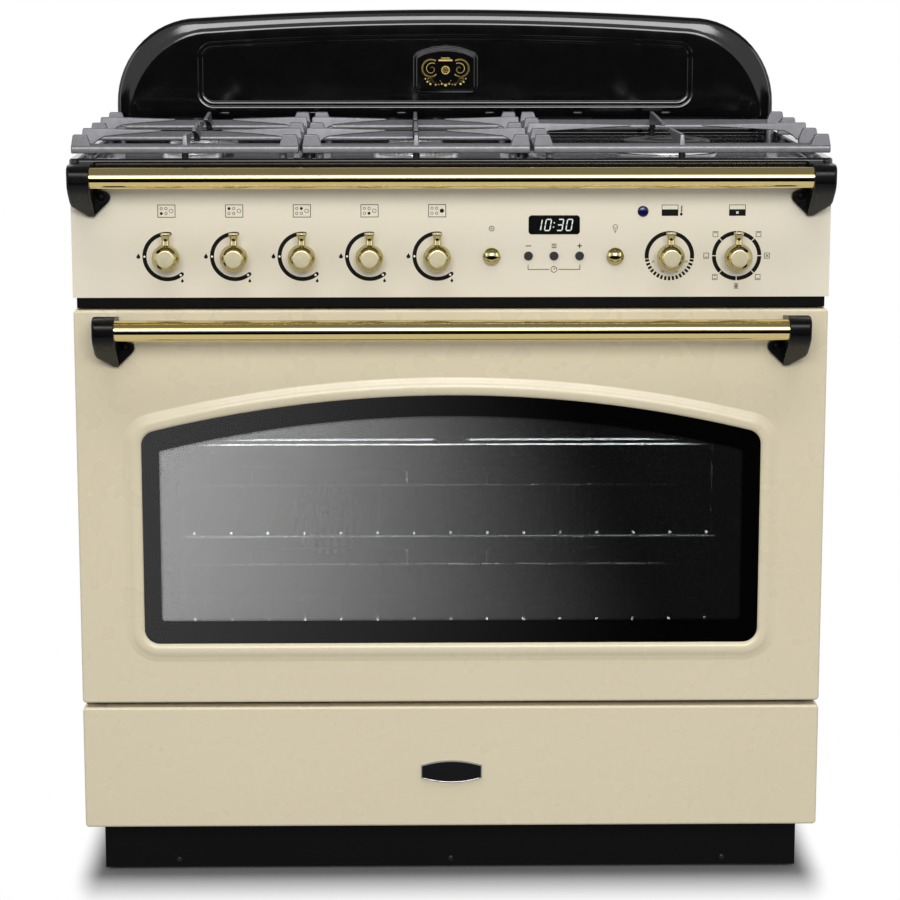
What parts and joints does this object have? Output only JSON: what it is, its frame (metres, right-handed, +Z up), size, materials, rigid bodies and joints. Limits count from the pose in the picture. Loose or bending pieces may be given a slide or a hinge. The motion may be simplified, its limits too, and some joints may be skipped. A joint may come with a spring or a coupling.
{
  "type": "dual fuel range cooker",
  "caption": "Wide free-standing range cooker with gas burners and pan supports over an electric oven with an arched glass door, brass rails and knobs, a storage drawer and a splashback.",
  "frame": {"origin": "on the floor, at the middle of the footprint of the whole cooker", "axes": "+X to the right seen from the front, +Y to the rear, +Z up"},
  "size_m": [0.9, 0.6358, 1.053],
  "materials": {
    "cream_enamel": "gloss enamel",
    "black_enamel": "gloss enamel",
    "black_paint": "satin",
    "galvanised_steel": "galvanised",
    "cap_enamel": "satin enamel",
    "burner_aluminium": "cast",
    "cast_iron": "matt enamel",
    "polished_brass": "polished",
    "turned_brass": "turned",
    "black_plastic": "gloss",
    "lamp_lens": "gloss",
    "control_plastic": "moulded",
    "oven_enamel": "gloss enamel",
    "heater_steel": "drawn tube",
    "chromed_wire": "chromed",
    "lamp_glass": "pressed",
    "door_glass": "tempered",
    "frame_enamel": "satin enamel",
    "seal_rope": "braided glass fibre"
  },
  "bodies": {
    "chassis": {"control_panel": "cream_enamel", "hob_tray": "black_enamel", "splashback": "black_enamel", "side_panels": "black_enamel", "plinth": "black_paint", "vent_trim": "black_paint", "handrail_brackets": "black_paint", "back_panel": "galvanised_steel", "base_panel": "galvanised_steel", "levelling_feet": "galvanised_steel", "drawer_runners": "galvanised_steel", "hinge_brackets": "galvanised_steel", "fan_motors": "galvanised_steel", "gas_manifold": "galvanised_steel", "burner_caps": "cap_enamel", "burner_bases": "burner_aluminium", "handrail": "polished_brass", "gas_taps": "turned_brass", "clock_display": "black_plastic", "indicator_lamp": "lamp_lens", "oven_controls": "control_plastic", "oven_liner": "oven_enamel", "fan_baffle": "oven_enamel", "oven_elements": "heater_steel", "shelf_ladders": "chromed_wire", "oven_shelves": "chromed_wire", "oven_lamp": "lamp_glass", "door_seal": "seal_rope"},
    "door": {"door_outer_panel": "cream_enamel", "door_outer_glass": "door_glass", "door_inner_frame": "frame_enamel", "door_inner_glass": "door_glass", "door_handle": "polished_brass", "door_handle_brackets": "black_paint", "hinge_arms": "galvanised_steel"},
    "drawer": {"drawer_front": "cream_enamel", "drawer_box": "galvanised_steel", "drawer_badge": "black_paint"},
    "spindle_1": {"gas_spindle_1": "turned_brass"},
    "knob_1": {"gas_knob_1": "polished_brass"},
    "spindle_2": {"gas_spindle_2": "turned_brass"},
    "knob_2": {"gas_knob_2": "polished_brass"},
    "spindle_3": {"gas_spindle_3": "turned_brass"},
    "knob_3": {"gas_knob_3": "polished_brass"},
    "spindle_4": {"gas_spindle_4": "turned_brass"},
    "knob_4": {"gas_knob_4": "polished_brass"},
    "spindle_5": {"gas_spindle_5": "turned_brass"},
    "knob_5": {"gas_knob_5": "polished_brass"},
    "temperature": {"temperature_knob": "polished_brass"},
    "function": {"function_knob": "polished_brass"},
    "ignition": {"ignition_button": "polished_brass"},
    "light": {"light_button": "polished_brass"},
    "minus": {"minus_button": "black_plastic"},
    "mode": {"mode_button": "black_plastic"},
    "plus": {"plus_button": "black_plastic"},
    "support_left": {"pan_support_left": "cast_iron"},
    "support_middle": {"pan_support_middle": "cast_iron"},
    "support_right": {"pan_support_right": "cast_iron"},
    "fan_left": {"fan_impeller_left": "burner_aluminium"},
    "fan_right": {"fan_impeller_right": "burner_aluminium"}
  },
  "joints": [
    {"name": "door_hinge", "type": "hinge", "parent": "chassis", "child": "door", "pos_m": [0, -0.23813, 0.246], "axis": [1, 0, 0], "range_deg": [0, 90], "stiffness_Nm_per_rad": 12, "springref_deg": -28.65},
    {"name": "drawer_slide", "type": "slide", "parent": "chassis", "child": "drawer", "axis": [0, -1, 0], "range_m": [0, 0.36]},
    {"name": "gas_1_turn", "type": "hinge", "parent": "chassis", "child": "spindle_1", "pos_m": [-0.337, -0.25212, 0.778], "axis": [0, -1, 0], "range_deg": [0, 214]},
    {"name": "gas_1_push", "type": "slide", "parent": "spindle_1", "child": "knob_1", "axis": [0, 1, 0], "range_m": [0, 0.003], "stiffness_N_per_m": 500},
    {"name": "gas_2_turn", "type": "hinge", "parent": "chassis", "child": "spindle_2", "pos_m": [-0.257, -0.25212, 0.778], "axis": [0, -1, 0], "range_deg": [0, 214]},
    {"name": "gas_2_push", "type": "slide", "parent": "spindle_2", "child": "knob_2", "axis": [0, 1, 0], "range_m": [0, 0.003], "stiffness_N_per_m": 500},
    {"name": "gas_3_turn", "type": "hinge", "parent": "chassis", "child": "spindle_3", "pos_m": [-0.177, -0.25212, 0.778], "axis": [0, -1, 0], "range_deg": [0, 214]},
    {"name": "gas_3_push", "type": "slide", "parent": "spindle_3", "child": "knob_3", "axis": [0, 1, 0], "range_m": [0, 0.003], "stiffness_N_per_m": 500},
    {"name": "gas_4_turn", "type": "hinge", "parent": "chassis", "child": "spindle_4", "pos_m": [-0.097, -0.25212, 0.778], "axis": [0, -1, 0], "range_deg": [0, 214]},
    {"name": "gas_4_push", "type": "slide", "parent": "spindle_4", "child": "knob_4", "axis": [0, 1, 0], "range_m": [0, 0.003], "stiffness_N_per_m": 500},
    {"name": "gas_5_turn", "type": "hinge", "parent": "chassis", "child": "spindle_5", "pos_m": [-0.017, -0.25212, 0.778], "axis": [0, -1, 0], "range_deg": [0, 214]},
    {"name": "gas_5_push", "type": "slide", "parent": "spindle_5", "child": "knob_5", "axis": [0, 1, 0], "range_m": [0, 0.003], "stiffness_N_per_m": 500},
    {"name": "temperature_turn", "type": "hinge", "parent": "chassis", "child": "temperature", "pos_m": [0.259, -0.25212, 0.778], "axis": [0, 1, 0], "range_deg": [0, 270]},
    {"name": "function_turn", "type": "hinge", "parent": "chassis", "child": "function", "pos_m": [0.339, -0.25212, 0.778], "axis": [0, 1, 0], "range_deg": [0, 315]},
    {"name": "ignition_press", "type": "slide", "parent": "chassis", "child": "ignition", "axis": [0, 1, 0], "range_m": [0, 0.003], "stiffness_N_per_m": 400},
    {"name": "light_press", "type": "slide", "parent": "chassis", "child": "light", "axis": [0, 1, 0], "range_m": [0, 0.003], "stiffness_N_per_m": 400},
    {"name": "minus_press", "type": "slide", "parent": "chassis", "child": "minus", "axis": [0, 1, 0], "range_m": [0, 0.0015], "stiffness_N_per_m": 300},
    {"name": "mode_press", "type": "slide", "parent": "chassis", "child": "mode", "axis": [0, 1, 0], "range_m": [0, 0.0015], "stiffness_N_per_m": 300},
    {"name": "plus_press", "type": "slide", "parent": "chassis", "child": "plus", "axis": [0, 1, 0], "range_m": [0, 0.0015], "stiffness_N_per_m": 300},
    {"name": "support_left_lift", "type": "slide", "parent": "chassis", "child": "support_left", "axis": [0, 0, 1], "range_m": [0, 0.1]},
    {"name": "support_middle_lift", "type": "slide", "parent": "chassis", "child": "support_middle", "axis": [0, 0, 1], "range_m": [0, 0.1]},
    {"name": "support_right_lift", "type": "slide", "parent": "chassis", "child": "support_right", "axis": [0, 0, 1], "range_m": [0, 0.1]},
    {"name": "fan_left_spin", "type": "hinge", "parent": "chassis", "child": "fan_left", "pos_m": [-0.162, 0.17788, 0.372], "axis": [0, 1, 0], "continuous": true},
    {"name": "fan_right_spin", "type": "hinge", "parent": "chassis", "child": "fan_right", "pos_m": [0.162, 0.17788, 0.372], "axis": [0, 1, 0], "continuous": true}
  ]
}
